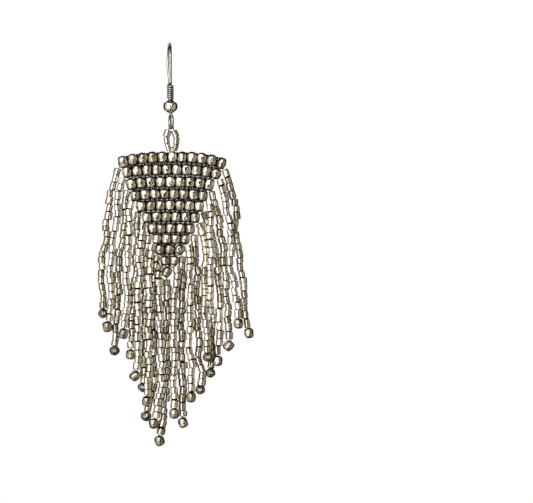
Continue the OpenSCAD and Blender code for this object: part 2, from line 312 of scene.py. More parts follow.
# The rear leg: a short drop, a slight elbow, a straight run and a curved tail, all towards REAR
REAR = Vector((math.sin(math.radians(60)), math.cos(math.radians(60)), 0))
DROP = 0.5
ELBOW_R, ELBOW_TURN = 6, 4.1
RUN_STEP, RUN_STEPS = 0.7, 8
TAIL_R, TAIL_TURN, TAIL_END = 8, 14, 1.9
BOW = 0.2


def extrude(step):
    bpy.ops.mesh.extrude_region_move(TRANSFORM_OT_translate={"value": tuple(step)})


def bend(centre, axis, angle, steps):
    """Spins the open end round a centre, by the right-hand rule about the axis."""
    bpy.ops.mesh.spin(steps=steps, angle=math.radians(angle), center=tuple(centre), axis=tuple(-Vector(axis)))


def rounded_end(radius):
    bpy.ops.mesh.edge_face_add()
    bpy.ops.mesh.bevel(offset=radius * 0.7, segments=4, profile=0.5, affect="EDGES")


def leg_way(degrees):
    """The way down and the way inwards of a leg that is turned from upright towards REAR."""
    s, c = math.sin(math.radians(degrees)), math.cos(math.radians(degrees))
    return s * REAR - c * UP, c * REAR + s * UP


clear_selection()
bpy.ops.mesh.primitive_circle_add(vertices=20, radius=WIRE_R, location=(LEG_X, FRONT_Y, SEAM_Z))
wire = settle(bpy.context.object)
wire.name = "ear_wire"

pick(wire, lambda p: True)
extrude((0, 0, BEND_Z - SEAM_Z))
bend((0, 0, BEND_Z), Vector((FRONT_Y, -LEG_X, 0)).normalized(), 180, 40)
extrude((0, 0, -DROP))
start = Vector((-LEG_X, -FRONT_Y, BEND_Z - DROP))
hinge = Vector((REAR.y, -REAR.x, 0))
bend(start + ELBOW_R * REAR, hinge, ELBOW_TURN, 3)
down, inward = leg_way(ELBOW_TURN)
run_end = start + ELBOW_R * (REAR - inward) + RUN_STEPS * RUN_STEP * down
for _ in range(RUN_STEPS):
    extrude(RUN_STEP * down)
bend(run_end + TAIL_R * inward, hinge, TAIL_TURN, 8)
extrude(TAIL_END * leg_way(ELBOW_TURN + TAIL_TURN)[0])
rounded_end(WIRE_R)
pick(wire, lambda p: p.y > 3 and abs(p.z - start.z) < 0.05)
bpy.ops.transform.translate(
    value=(-BOW, 0, 0), use_proportional_edit=True, proportional_size=6,
    proportional_edit_falloff="SMOOTH", use_proportional_connected=True)
print("ear wire so far, points:", len(wire.data.vertices))

# %% [markdown]
# The first circle, inside the coil, is picked again for the way down: through the ball, then an elbow
# to the back and nearly a full turn round the eye's middle.

# %% The eye
EYE = Vector((0.35, FRONT_Y, -17.065))
EYE_R = 1.445
EYE_TURN = math.radians(13)
NECK_TURN = 20
EYE_SPAN = 318

along = Vector((-math.sin(EYE_TURN), math.cos(EYE_TURN), 0))
side = Vector((-along.y, along.x, 0))
sine, cosine = math.sin(math.radians(NECK_TURN)), math.cos(math.radians(NECK_TURN))
elbow_r = EYE_R * sine / (1 - sine)
neck_z = EYE.z + (EYE_R + elbow_r) * cosine
pick(wire, lambda p: abs(p.z - SEAM_Z) < 0.001)
extrude((EYE.x - LEG_X, 0, neck_z - SEAM_Z))
bend(Vector((EYE.x, EYE.y, neck_z)) + elbow_r * along, -side, 90 - NECK_TURN, 8)
bend(EYE, side, EYE_SPAN, 60)
rounded_end(WIRE_R)
close_up(wire)
smooth(wire, 60)
to_metres(wire)
dress(wire, "ear_wire", "polished_wire", "ear_hook")
print("ear wire, mm:", size_of(wire), "faces:", len(wire.data.polygons))

# %% [markdown]
# ## The coil
# A finer wire is wound round the stem above the ball, turn against turn. A circle that climbs while it
# turns is what the Screw modifier makes, so the wire's round section is drawn once and wound with it.
# Both cut ends are closed. The grooves between the turns are painted nearly black as shade, so the
# points away from the crest of each turn are marked for the finish. The top end of the wire stands up
# a little over the last turn.

# %% The coil
COIL_R = 0.58
COIL_WIRE_R = 0.2
COIL_TURNS = 7
COIL_FOOT = -12.12
COIL_RISE = 3.12
COIL_START = math.radians(-130)


def clip(value):
    return min(1.0, max(0.0, value))


def mark_rim(piece, kind, rule):
    """Writes the rim mark of every point or face by a rule on its place."""
    marks = piece.data.attributes.new("rim", "FLOAT", kind)
    mesh = piece.data
    places = [face.center for face in mesh.polygons] if kind == "FACE" else [p.co for p in mesh.vertices]
    for place, mark in zip(places, marks.data):
        mark.value = rule(place)


clear_selection()
bpy.ops.mesh.primitive_circle_add(
    vertices=12, radius=COIL_WIRE_R, location=(COIL_R, 0, 0), rotation=(math.pi / 2, 0, 0))
coil = settle(bpy.context.object)
coil.name = "coil"
winding = coil.modifiers.new("winding", "SCREW")
winding.axis = "Z"
winding.angle = math.radians(360 * COIL_TURNS)
winding.screw_offset = COIL_RISE
winding.steps = winding.render_steps = 30 * COIL_TURNS
bpy.ops.object.modifier_apply(modifier="winding")
coil.location = (LEG_X, FRONT_Y, COIL_FOOT)
coil.rotation_euler.z = COIL_START
settle(coil)

outward = Vector((math.cos(COIL_START), math.sin(COIL_START), 0))
onward = Vector((-outward.y, outward.x, 0))
coil_end = Vector((LEG_X, FRONT_Y, COIL_FOOT + COIL_RISE)) + COIL_R * outward
pick(coil, lambda p: abs((p - coil_end).dot(onward)) < 0.02 and (p - coil_end).length < COIL_WIRE_R + 0.03)
for _ in range(5):
    extrude(0.09 * onward - 0.05 * outward + 0.09 * UP)
bpy.ops.mesh.select_all(action="SELECT")
bpy.ops.mesh.remove_doubles(threshold=0.001)
bpy.ops.mesh.fill_holes(sides=0)
close_up(coil)
smooth(coil, 60)


# Painted shade: the mark grows from the crest of each turn into the groove between the turns.
def painted_groove_shade(place):
    crest = (math.hypot(place.x - LEG_X, place.y - FRONT_Y) - COIL_R) / COIL_WIRE_R
    return clip((0.99 - crest) / 0.3)


mark_rim(coil, "POINT", painted_groove_shade)
to_metres(coil)
dress(coil, "ear_wire", "polished_wire", "wire_coil")
print("coil, faces:", len(coil.data.polygons), "mm:", size_of(coil))

# %% [markdown]
# ## The ball
# A hollow polished ball slides on the stem under the coil. Turned parts like this one are drawn as half
# of their outline and spun round: a circle of points is cut down to the side right of the hole, its two
# ends are joined along the hole's wall, and both rims get a small bevel, as a drilled ball has.

# %% The ball
BALL_R = 1.58
BALL_HOLE_R = 0.4
BALL_Z = -13.73
clear_selection()
bpy.ops.mesh.primitive_circle_add(vertices=64, radius=BALL_R, rotation=(math.pi / 2, 0, 0))
ball = settle(bpy.context.object)
ball.name = "ball"
pick(ball, lambda p: True)
bpy.ops.mesh.bisect(plane_co=(BALL_HOLE_R, 0, 0), plane_no=(1, 0, 0), clear_inner=True)
pick(ball, lambda p: p.x < BALL_HOLE_R + 0.001)
bpy.ops.mesh.edge_face_add()
bpy.ops.mesh.subdivide(number_cuts=1)
pick(ball, lambda p: p.x < BALL_HOLE_R + 0.001 and abs(p.z) > 1)
bpy.ops.mesh.bevel(offset=0.06, segments=2, affect="VERTICES")
bpy.ops.mesh.select_all(action="SELECT")
bpy.ops.mesh.spin(steps=64, angle=2 * math.pi, center=(0, 0, 0), axis=(0, 0, 1))
close_up(ball)
ball.location = (LEG_X, FRONT_Y, BALL_Z)
settle(ball)
smooth(ball, 60)
to_metres(ball)
dress(ball, "ear_wire", "polished_wire", "ball_bead")
print("ball, faces:", len(ball.data.polygons))

# %% [markdown]
# ## One drilled bead
# All beads are the same kind of thing: a short ring of glass with soft shoulders and a hole. So the
# outline of the wall is drawn once as a rectangle beside the axis, its corners are bevelled, the
# outside is pushed out a little, and it is spun. A bead that is used hundreds of times gets few faces,
# and a panel bead gets more. The rim mark is 1 at the two ends and 0 round the middle. On the metal
# beads the finish uses it for painted shade on the shoulders and in the hole; on the small beads it
# darkens the cut ends. The small beads have it per face, so the cut ends have a sharp line.

# %% A bead from its outline
def turn_bead(name, radius, height, hole, shoulder, mouth, sides, steps, bulge):
    """Spins a rectangle with bevelled corners: steps are the bevels' segments outside and inside."""
    clear_selection()
    bpy.ops.mesh.primitive_plane_add(
        size=1, location=((radius + hole) / 2, 0, 0), rotation=(math.pi / 2, 0, 0))
    bead = bpy.context.object
    bead.name = name
    bead.scale = (radius - hole, height, 1)
    settle(bead)
    wall = height / 2 - shoulder
    pick(bead, lambda p: p.x > radius - 0.001)
    bpy.ops.mesh.bevel(offset=shoulder, segments=steps[0], affect="VERTICES")
    if steps[1]:
        pick(bead, lambda p: p.x < hole + 0.001)
        bpy.ops.mesh.bevel(offset=mouth, segments=steps[1], affect="VERTICES")
    if bulge:
        pick(bead, lambda p: p.x > radius - 0.001)
        bpy.ops.mesh.subdivide(number_cuts=3)
        for share, push in ((0.1, 0.75), (0.6, 0.25)):
            pick(bead, lambda p: p.x > radius - 0.001 and abs(p.z) < wall * share)
            bpy.ops.transform.translate(value=(bulge * push, 0, 0))
    pick(bead, lambda p: True)
    bpy.ops.mesh.delete(type="ONLY_FACE")
    bpy.ops.mesh.select_all(action="SELECT")
    bpy.ops.mesh.spin(steps=sides, angle=2 * math.pi, center=(0, 0, 0), axis=(0, 0, 1))
    close_up(bead)

    # Painted shade: the rim mark darkens the shoulders and the hole of the metal beads.
    def shaded_ends(place):
        level = abs(place.z) / (height / 2)
        start = 1 - 1.6 * shoulder / (height / 2)
        inside = place.xy.length < hole + 0.5 * mouth
        return 1.0 if inside else max(0.0, (level - start) / (1 - start)) ** 1.5

    if steps[1]:
        smooth(bead, 55)
        mark_rim(bead, "POINT", shaded_ends)
    else:
        smooth(bead, 40)
        mark_rim(bead, "FACE", lambda place: float(abs(place.z) > wall))
    print(name, "faces:", len(bead.data.polygons), "mm:", [round(d, 2) for d in bead.dimensions])
    return bead


BEAD_R = 1.04
BEAD_H = 2.42
metal_master = turn_bead("metal_master", BEAD_R, BEAD_H, 0.36, 0.7, 0.12, 24, (4, 2), 0.08)
seed_master = turn_bead("seed_master", 0.6, 1.0, 0.24, 0.08, 0.05, 12, (1, 0), 0)

# %% [markdown]
# ## Dented variants
# Metal-finish beads are never quite round: the glass under the thin metal is lumpy, and each bead
# catches the light in its own way. A few soft dents are pushed into copies of the first bead with
# proportional editing, which lets the neighbouring points follow less and less.

# %% Dents
def dent(bead, turn, level, push, reach):
    """Pushes the wall in (or out, below 0) at a turn round the hole and a level from -1 to 1."""
    t = math.radians(turn)
    way = Vector((math.sin(t), -math.cos(t), 0))
    spot = BEAD_R * way + Vector((0, 0, level * BEAD_H / 2))
    nearest = min(bead.data.vertices, key=lambda point: (point.co - spot).length)
    place = nearest.co.copy()
    pick(bead, lambda p: (p - place).length < 1e-4)
    bpy.ops.transform.translate(
        value=tuple(-push * way), use_proportional_edit=True, proportional_size=reach,
        proportional_edit_falloff="SMOOTH", use_proportional_connected=True)
    bpy.ops.object.mode_set(mode="OBJECT")


chance = random.Random(3)
variants = []
for number in range(6):
    variant = metal_master.copy()
    variant.data = metal_master.data.copy()
    bpy.context.collection.objects.link(variant)
    variant.name = f"metal_variant_{number}"
    for k in range(11):
        dent(variant, k * 33 + chance.uniform(-12, 12), chance.uniform(-0.75, 0.75),
             chance.choice((-0.05, 0.06, 0.09, 0.11)), chance.uniform(0.4, 0.85))
    variants.append(variant)
print("variants:", len(variants))

# %% [markdown]
# ## Placing beads
# A bead is placed by its middle, its lean to the right, its tip towards the viewer and a turn round its
# hole. Every copy has its own mesh and its own number, the tone, from 0 to 1, which shifts its colour a
# little in the finish. The beads of one row, or of one string, are then joined into one piece.

# %% Copies of a bead
def place_bead(master, middle, lean=0.0, tip=0.0, turn=0.0, size=(1, 1, 1), tone=0.5):
    """A copy of a bead at a place in millimetres, turned in degrees."""
    copy = master.copy()
    copy.data = master.data.copy()
    bpy.context.collection.objects.link(copy)
    copy.data.transform(
        Matrix.Translation(Vector(middle))
        @ Matrix.Rotation(math.radians(lean), 4, "Y")
        @ Matrix.Rotation(math.radians(tip), 4, "X")
        @ Matrix.Rotation(math.radians(turn), 4, "Z")
        @ Matrix.Diagonal((*size, 1)))
    mark = copy.data.attributes.new("tone", "FLOAT", "POINT")
    mark.data.foreach_set("value", [tone] * len(copy.data.vertices))
    return copy


def join_pieces(parts, name):
    clear_selection()
    for part in parts:
        part.select_set(True)
    bpy.context.view_layer.objects.active = parts[0]
    bpy.ops.object.join()
    whole = bpy.context.object
    whole.name = whole.data.name = name
    return to_metres(whole)


# %% [markdown]
# ## The panel
# Ten rows of 11, 10, 9 ... 2 beads hang under each other, each bead below the gap between two beads of
# the row above, as brick stitch makes it. The rows bow down at their ends. The table repeats the solid
# model's rows: how many beads, the middle, the spacing, the height and the drop of both ends. A few
# beads are odd in the photo, as real ones are: narrow, round or turned, and a second table lists them.

# %% The panel's rows
ROWS = [
    (11, 0.58, 2.17, -24.93, 1.0, 1.3), (10, 0.44, 2.18, -27.63, 0.6, 0.9), (9, 0.15, 2.16, -30.36, 0.5, 0.6),
    (8, -0.1, 2.13, -33.0, 0.35, 0.4), (7, 0.1, 2.14, -35.5, 0.2, 0.2), (6, 0.3, 2.13, -38.05, 0.15, 0.1),
    (5, 0.24, 2.16, -40.55, 0.1, 0.1), (4, 0.3, 2.08, -42.9, 0, 0), (3, 0.02, 2.2, -45.25, 0, 0),
    (2, 0.02, 2.07, -47.65, 0, 0),
]
TIP_AT = (-0.58, FRONT_Y, -50.15)
TIP_LEAN = 33
# Beads of the upper rows are longer, and those of the lower rows are duller
ROW_TALL = (1.07, 1.08, 1.07, 1.03, 1.0, 1.0, 0.97, 0.95, 0.95, 0.97)
ROW_DULL = (0, 0, 0, 0, 0, 0.35, 0.35, 0.35, 0.6, 0.6)
# Row and bead, counted from 0: width, height and extra lean
ODD_BEADS = {
    (0, 2): (1.02, 0.95, 12), (1, 0): (1.0, 0.93, -8), (1, 9): (1.06, 0.93, 14), (2, 0): (0.96, 1.0, -4),
    (2, 2): (0.8, 1.02, 0), (2, 8): (0.82, 1.02, 4), (0, 10): (0.88, 1.0, 4), (6, 0): (0.66, 0.98, -3),
    (7, 1): (0.92, 1.0, 9), (8, 2): (0.96, 0.96, 22), (9, 1): (1.0, 0.94, 18), (9, 0): (1.0, 0.95, -14),
}


def row_step(k, i):
    """How far out a bead of a row is, from -1 to 1, and how far that end of the row drops."""
    u = 2 * i / (ROWS[k][0] - 1) - 1
    return u, ROWS[k][4] if u < 0 else ROWS[k][5]


def row_place(k, i):
    count, middle, pitch, z = ROWS[k][:4]
    u, drop = row_step(k, i)
    return Vector((middle + (i - (count - 1) / 2) * pitch, FRONT_Y, z - drop * abs(u) ** 3))


def row_lean(k, i):
    """A bead leans with its row's bow, but not all the way."""
    u, drop = row_step(k, i)
    half = ROWS[k][2] * (ROWS[k][0] - 1) / 2
    return 0.7 * math.degrees(math.atan(math.copysign(drop, u) * 3 * u * u / half))


def shade_flanks(bead, middle, lean, left, right):
    """Painted shade where a bead touches its neighbours: the rim mark also covers those flanks."""
    across = Vector((math.cos(math.radians(lean)), 0, -math.sin(math.radians(lean))))
    for point, mark in zip(bead.data.vertices, bead.data.attributes["rim"].data):
        side = (point.co - middle).dot(across) / BEAD_R
        if side > 0 and right or side < 0 and left:
            mark.value = max(mark.value, clip((abs(side) - 0.9) / 0.13))


chance = random.Random(11)
metal_pieces = []
for k, (count, _, pitch, *_) in enumerate(ROWS):
    beads = []
    fit = (pitch + 0.06) / (2 * BEAD_R + 0.08)
    for i in range(count):
        width, height, extra = ODD_BEADS.get((k, i), (1, 1, 0))
        size = (fit * width * chance.uniform(0.985, 1.005), fit * chance.uniform(0.95, 1.0),
                height * ROW_TALL[k] * chance.uniform(0.99, 1.04))
        place, lean = row_place(k, i), row_lean(k, i)
        beads.append(place_bead(
            chance.choice(variants), place, lean + extra + chance.uniform(-3, 3), chance.uniform(-5, 5),
            chance.uniform(0, 360), size, chance.uniform(ROW_DULL[k], 1)))
        shade_flanks(beads[-1], place, lean, i > 0, i < count - 1)
    piece = join_pieces(beads, f"panel_beads_{k + 1:02d}")
    metal_pieces.append(dress(piece, "drop", "metal_bead", f"panel_row_{k + 1:02d}"))
tip_bead = join_pieces([place_bead(variants[1], TIP_AT, TIP_LEAN, size=(1.0, 1.0, 0.99), tone=0.85)],
                       "tip_bead_dressed")
metal_pieces.append(dress(tip_bead, "drop", "metal_bead", "tip_bead"))
print("panel pieces:", len(metal_pieces), "faces in the first:", len(metal_pieces[0].data.polygons))

# %% [markdown]
# ## The routes of the strings
# Each string leaves the end of a row and hangs down to its own bead. The table repeats the solid
# model's route: the end bead's place, lean and tip, then the places that the string passes. A smooth
# curve through them, the same as in the solid model, is sampled finely, so that a bead can be put at
# any length along it.

# %% The routes
LEFT_STRINGS = [
    [[-14.56, 0.8, -59.3], 0, 65, [[-11.3, 0.1, -27.3], [-12.7, 0.5, -32.1], [-13.6, 0.75, -37.6],
        [-14, 0.75, -43.1], [-15, 0.75, -48.6], [-14.8, 0.75, -54.1]]],
    [[-13.68, -0.5, -62.2], -8, 20, [[-10.2, -0.15, -29.6], [-11.1, -0.6, -32.1], [-11.5, -0.75, -37.6],
        [-12.4, -0.75, -43.1], [-12.9, -0.75, -48.6], [-12.9, -0.75, -54.1], [-12.9, -0.75, -59]]],
    [[-12.1, 0.4, -67.5], 0, 75, [[-9.3, 0.3, -32.2], [-9.8, 0.7, -34.8], [-9.9, 0.75, -37.6],
        [-10.3, 0.75, -43.1], [-11.3, 0.75, -48.6], [-11.2, 0.75, -54.1], [-11.6, 0.75, -59.6],
        [-11.9, 0.7, -64.5]]],
    [[-10.12, -0.9, -63.7], 15, 25, [[-8.2, -0.3, -34.6], [-9, -0.8, -37], [-8.8, -0.75, -43.1],
        [-9.5, -0.75, -48.6], [-9.3, -0.75, -54.1], [-9.5, -0.75, -59.6]]],
    [[-8.51, 0.5, -68.3], 5, 10, [[-6.9, 0.2, -36.9], [-7.1, 0.7, -39.8], [-7, 0.75, -43.1],
        [-7.4, 0.75, -48.6], [-7.8, 0.75, -54.1], [-8.2, 0.75, -59.6], [-8.4, 0.75, -64.5]]],
    [[-7.55, -0.75, -73], 40, 0, [[-5.8, -0.3, -39.4], [-6.4, -0.75, -43.1], [-6.6, -0.75, -48.6],
        [-6.8, -0.75, -54.1], [-7, -0.75, -59.6], [-6.9, -0.75, -65.1], [-7, -0.75, -70]]],
    [[-5.92, 1.2, -75.5], 0, 90, [[-4.6, 0.2, -42], [-4.9, 0.5, -44.7], [-5.4, 0.6, -48.6],
        [-5.5, 0.6, -54.1], [-5.5, 0.6, -59.6], [-5.4, 0.6, -65.1], [-5.5, 0.8, -70.6]]],
    [[-4.93, -1.1, -78.6], 10, 20, [[-3.8, -0.45, -44.1], [-4.1, -0.7, -46.6], [-4.4, -0.8, -49.3],
        [-4.5, -0.8, -54.1], [-4.4, -0.8, -59.6], [-4.6, -0.8, -65.1], [-4.4, -0.8, -70.6],
        [-4.8, -1, -75.7]]],
    [[-5.19, 0.5, -81.9], -25, 50, [[-2.7, 0.3, -46.6], [-3.2, 0.55, -49.3], [-3.5, 0.55, -54.1],
        [-3.5, 0.55, -59.6], [-3.6, 0.55, -65.1], [-3.4, 0.55, -70.6], [-3.7, 0.8, -76.1],
        [-4.6, 0.8, -79.4]]],
    [[-3.45, -0.75, -83.5], -5, 0, [[-2.1, -0.4, -48.8], [-2.4, -1.15, -50.5], [-2.3, -0.7, -54.1],
        [-2.1, -0.6, -59.6], [-1.9, -0.6, -65.1], [-1.7, -0.6, -70.6], [-1.9, -0.6, -76.1],
        [-2.8, -0.7, -81]]],
]
RIGHT_STRINGS = [
    [[17.49, 0.5, -63.6], -10, 0, [[12.1, 0.1, -27.6], [13.7, 0.5, -32.1], [14.6, 0.75, -37.6],
        [14.7, 0.75, -43.1], [15.7, 0.75, -48.6], [16.2, 0.75, -54.1], [16.7, 0.75, -59.6]]],
    [[15.14, -0.6, -61.5], 0, 0, [[11, -0.1, -29.9], [11.8, -0.6, -32.3], [12.9, -0.75, -37.6],
        [13.8, -0.75, -43.1], [13.4, -0.75, -48.6], [14.5, -0.75, -54.1], [15, -0.7, -58.3]]],
    [[13.05, 0.5, -66.4], 40, 0, [[9.3, 0.4, -32.4], [10.1, 0.6, -35.4], [10.6, 0.75, -37.6],
        [11.6, 0.75, -43.1], [12.1, 0.75, -48.6], [12.4, 0.75, -54.1], [12.9, 0.75, -59.6],
        [13.1, 0.6, -63.4]]],
    [[9, 1, -72.4], 0, 60, [[8.8, -0.5, -34.5], [9, -1, -37.6], [9.1, -1.1, -43.1], [9.2, -1.1, -48.6],
        [8.9, -1, -54.1], [9.5, 0.1, -59.6], [9.4, 1.5, -65.1], [9.5, 1.7, -68.4]]],
    [[10.65, 0.1, -69.7], 0, 20, [[7.4, 0.3, -37], [8.1, 0.7, -38.9], [9.8, 0.75, -43.1],
        [10.4, 0.75, -48.6], [11.1, 0.75, -54.1], [11, 0.6, -59.6], [11, 0.3, -64], [10.7, 0.15, -66.4]]],
    [[8.51, -0.9, -68.9], 0, 75, [[6.6, 0, -39.4], [7.7, 0, -43.1], [7.9, 0, -48.6], [7.7, 0, -54.1],
        [7.9, -0.2, -59.6], [8.2, -0.7, -65.1]]],
    [[6.75, 0.1, -76.1], 0, 90, [[5.4, 0.2, -42], [5.6, 0.5, -44.7], [6, 0.6, -48.6], [6, 0.6, -54.1],
        [6.2, 0.6, -59.6], [6.5, 0.6, -65.1], [6.6, 0.4, -70], [7.3, 0.1, -73]]],
    [[4.77, -0.6, -77.7], 0, 0, [[4, -0.2, -44.3], [4.5, -0.5, -46.9], [4.6, -0.6, -50.8],
        [4.5, -0.6, -54.1], [4.7, -0.6, -59.6], [4.3, -0.6, -65.1], [4.9, -0.6, -70.6],
        [4.9, -0.6, -74.8]]],
    [[2.99, 0.5, -83.3], -18, 0, [[2.8, 0.2, -46.7], [2.7, 0.5, -49.7], [2.9, 0.6, -54.1],
        [2.6, 0.6, -59.6], [2.6, 0.6, -65.1], [2.8, 0.6, -70.6], [2.9, 0.6, -76.1], [2.9, 0.55, -80.1]]],
    [[1.03, -0.75, -81.3], 0, 0, [[1.6, -0.3, -49], [1.6, -0.7, -51.9], [1.4, -0.75, -54.1],
        [0.9, -0.75, -59.6], [1, -0.75, -65.1], [1.1, -0.75, -70.6], [0.9, -0.75, -76.1]]],
]
TIP_STRING = [[-2.22, 0.4, -87.3], -20, 10, [[-0.5, 0.2, -51.7], [-0.6, 0.5, -54.1], [-0.4, 0.55, -59.6],
    [-0.7, 0.55, -65.1], [-0.5, 0.55, -70.6], [-0.8, 0.55, -76.1], [-1.4, 0.5, -81.6]]]


def hole_axis(lean, tip):
    a, b = math.radians(lean), math.radians(tip)
    return Vector((math.cos(b) * math.sin(a), -math.sin(b), math.cos(b) * math.cos(a)))


def reach(axis, way, radius=0.965, half=1.025, ball=1.3):
    """How far the solid model's bead reaches from its middle in a direction."""
    level = abs(axis.dot(way))
    across = math.sqrt(max(0.0, 1 - level ** 2))
    if ball * level < half and ball * across < radius:
        return ball
    return max(level * half + across * math.sqrt(ball ** 2 - half ** 2),
               level * math.sqrt(ball ** 2 - radius ** 2) + across * radius)


END_GAP = 0.14


def string_line(string):
    """Points of a string every 0.05 mm of height or so, from its top down to just over its end bead."""
    bead, lean, tip, stops = string
    stops = [Vector(stop) for stop in stops]
    up = (stops[-1] - Vector(bead)).normalized()
    stops.append(Vector(bead) + (reach(hole_axis(lean, tip), up) + END_GAP) * up)
    slopes = []
    for i in range(len(stops)):
        a, b = stops[max(i - 1, 0)], stops[min(i + 1, len(stops) - 1)]
        slopes.append((b - a) / (b.z - a.z))
    line = []
    for i in range(len(stops) - 1):
        step = stops[i + 1].z - stops[i].z
        count = max(4, int(abs(step) / 0.05))
        for j in range(count + (i == len(stops) - 2)):
            t = j / count
            eased = 3 * t ** 2 - 2 * t ** 3
            line.append((1 - eased) * stops[i] + (t ** 3 - 2 * t ** 2 + t) * step * slopes[i]
                        + eased * stops[i + 1] + (t ** 3 - t ** 2) * step * slopes[i + 1])
    return [point + Vector((0, FRONT_Y, 0)) for point in line]


def walk(line):
    """Lengths from the top at each point of a line."""
    lengths = [0.0]
    for a, b in zip(line, line[1:]):
        lengths.append(lengths[-1] + (b - a).length)
    return lengths


def at_length(line, lengths, s):
    s = min(max(s, 0.0), lengths[-1])
    low, high = 0, len(lengths) - 1
    while high - low > 1:
        middle = (low + high) // 2
        low, high = (middle, high) if lengths[middle] <= s else (low, middle)
    share = (s - lengths[low]) / max(1e-9, lengths[high] - lengths[low])
    return line[low].lerp(line[high], share)


STRINGS = {f"left_{k + 1:02d}": string for k, string in enumerate(LEFT_STRINGS)}
STRINGS.update({f"right_{k + 1:02d}": string for k, string in enumerate(RIGHT_STRINGS)})
STRINGS["tip"] = TIP_STRING


def end_middle(name):
    return Vector(STRINGS[name][0]) + Vector((0, FRONT_Y, 0))


lines = {name: string_line(string) for name, string in STRINGS.items()}
print("strings:", len(lines), "length of all, mm:", round(sum(walk(line)[-1] for line in lines.values())))

# %% [markdown]
# ## The fringe
# The small beads are cut from a long glass tube, so their lengths vary most and their ends are
# sometimes aslant. Lengths are drawn from a seeded chance until a string is full. Each bead follows the
# route's direction, but leans a few degrees by itself: hard little beads on a soft thread never lie in
# a perfect line. The inner strings are a little fuller. High up they are painted darker, as shade where
# others hang before them, and beads further back are painted darker as shade too. Some end beads turn
# their hole to the viewer. Their string goes a little further, to meet their side.

# %% Strings of seed beads
SEED_GAP = 0.015
SEED_LENGTHS = (1.1, 1.25, 1.35, 1.4, 1.5, 1.6, 1.75, 1.9)
SEED_WIDTHS = (1.38, 1.46, 1.52, 1.56, 1.62, 1.74)
INNER_FROM = 6
INNER_WIDE, INNER_SHADE = 1.07, 0.308
FACES_VIEWER = 45


def seed_bead(top, bottom, width, tone, chance, slant=4.5):
    """One seed bead between two points of its string."""
    run = top - bottom
    lean = math.degrees(math.atan2(run.x, run.z)) + chance.gauss(0, slant)
    tip = -math.degrees(math.asin(max(-1, min(1, run.y / run.length)))) + chance.gauss(0, slant)
    size = (width / 1.2, width / 1.2, run.length)
    return place_bead(seed_master, (top + bottom) / 2, lean, tip, chance.uniform(0, 30), size, tone)


def fill_string(line, chance, inner):
    """The seed beads of one string, from its top to its end."""
    lengths = walk(line)
    total = lengths[-1]
    runs = []
    while sum(runs) + SEED_GAP * len(runs) < total - 0.6:
        runs.append(chance.choice(SEED_LENGTHS))
    stretch = (total - SEED_GAP * (len(runs) - 1)) / sum(runs)
    beads, s = [], 0.0
    phase, wave = chance.uniform(0, 6.3), chance.uniform(5, 9)
    for run in runs:
        top, bottom = at_length(line, lengths, s), at_length(line, lengths, s + run * stretch)
        sway = 0.22 * math.sin(phase + s / wave * 6.3) * min(1, s / 4, (total - s) / 4)
        shift = Vector((sway + chance.uniform(-0.11, 0.11), chance.uniform(-0.04, 0.04), 0))
        width = chance.choice(SEED_WIDTHS) * (INNER_WIDE if inner else 1.0)
        # The tone is partly random and partly painted shade: the inner strings get darker high up, and beads
        # further back get darker.
        cover_shade = INNER_SHADE * clip((top.z + 77) / 12) if inner else 0.0
        tone = clip(0.2 + cover_shade + 0.45 * (top.y - FRONT_Y) + chance.gauss(0, 0.24))
        beads.append(seed_bead(top + shift, bottom + shift, width, tone, chance))
        s += run * stretch + SEED_GAP
    return beads


def node_name(name, kind):
    """The solid model's name of a string or its end: left_01 and strand give left_strand_01."""
    side, _, number = name.partition("_")
    return f"{side}_{kind}_{number}" if number else f"{side}_{kind}"


glass_pieces, end_pieces = [], []
seed_count = 0
for number, (name, line) in enumerate(lines.items()):
    chance = random.Random(100 + number)
    _, lean, tip, _ = STRINGS[name]
    middle, facing = end_middle(name), tip > FACES_VIEWER
    if facing:
        line = line + [line[-1].lerp(middle, 0.19)]
    beads = fill_string(line, chance, name == "tip" or int(name[-2:]) >= INNER_FROM)
    seed_count += len(beads)
    piece = join_pieces(beads, f"string_{name}")
    glass_pieces.append(dress(piece, "drop", "lined_glass", node_name(name, "strand")))

    girth = chance.uniform(0.98, 1.03) * (1.06 if facing else 1)
    end = place_bead(
        variants[number % 6], middle, lean, 82 if facing else 0.4 * tip, chance.uniform(0, 360),
        (girth, girth, chance.uniform(0.92, 0.97)), chance.uniform(0.8 if facing else 0.55, 1))
    # The end beads keep the full painted shade in their holes and a weaker one on their shoulders, a little
    # stronger on beads that face the viewer.
    for mark in end.data.attributes["rim"].data:
        mark.value *= 1.0 if mark.value > 0.99 else 0.83 if facing else 0.75
    piece = join_pieces([end], f"bead_{name}")
    end_pieces.append(dress(piece, "drop", "metal_bead", node_name(name, "end")))
print("seed beads:", seed_count, "faces in the first string:", len(glass_pieces[0].data.polygons))

# %% [markdown]
# ## The hanging loop
# Two legs of three larger beads carry the panel under the eye. They lean outwards, so the loop is open
# in the middle. Each bead sits between two corners of its leg, as in the solid model.

# %% The loop's beads
LEFT_LEG = [(-0.25, -18.95), (-0.68, -20.4), (-0.5, -21.95), (-0.08, -23.4)]
RIGHT_LEG = [(0.98, -19.1), (1.55, -20.5), (1.5, -22.05), (1.15, -23.45)]
LEG_WIDTHS = ((1.58, 1.28, 1.1), (1.4, 1.32, 1.15))


def flat(x, z, depth=0.0):
    return Vector((x, FRONT_Y + depth, z))


chance = random.Random(7)
beads = []
for leg, widths in zip((LEFT_LEG, RIGHT_LEG), LEG_WIDTHS):
    for upper, lower, width in zip(leg, leg[1:], widths):
        a, b = flat(*upper), flat(*lower)
        overlap = 0.03 * (b - a).normalized()
        beads.append(seed_bead(a - overlap, b + overlap, width, chance.random(), chance, 2))
loop_beads = dress(join_pieces(beads, "loop_beads"), "drop", "lined_glass", "hanger_beads")
glass_pieces.append(loop_beads)
print("loop beads, mm:", size_of(loop_beads))

# %% [markdown]
# ## Threads
# Thread is the same everywhere: a thin round line along a route. A curve with a round bevel draws it,
# and it becomes a mesh at once, because the pieces keep their place in their mesh. The loop's thread
# goes up one leg, over the eye's wire and down the other, twice, and a few turns bind both legs
# together where they meet.

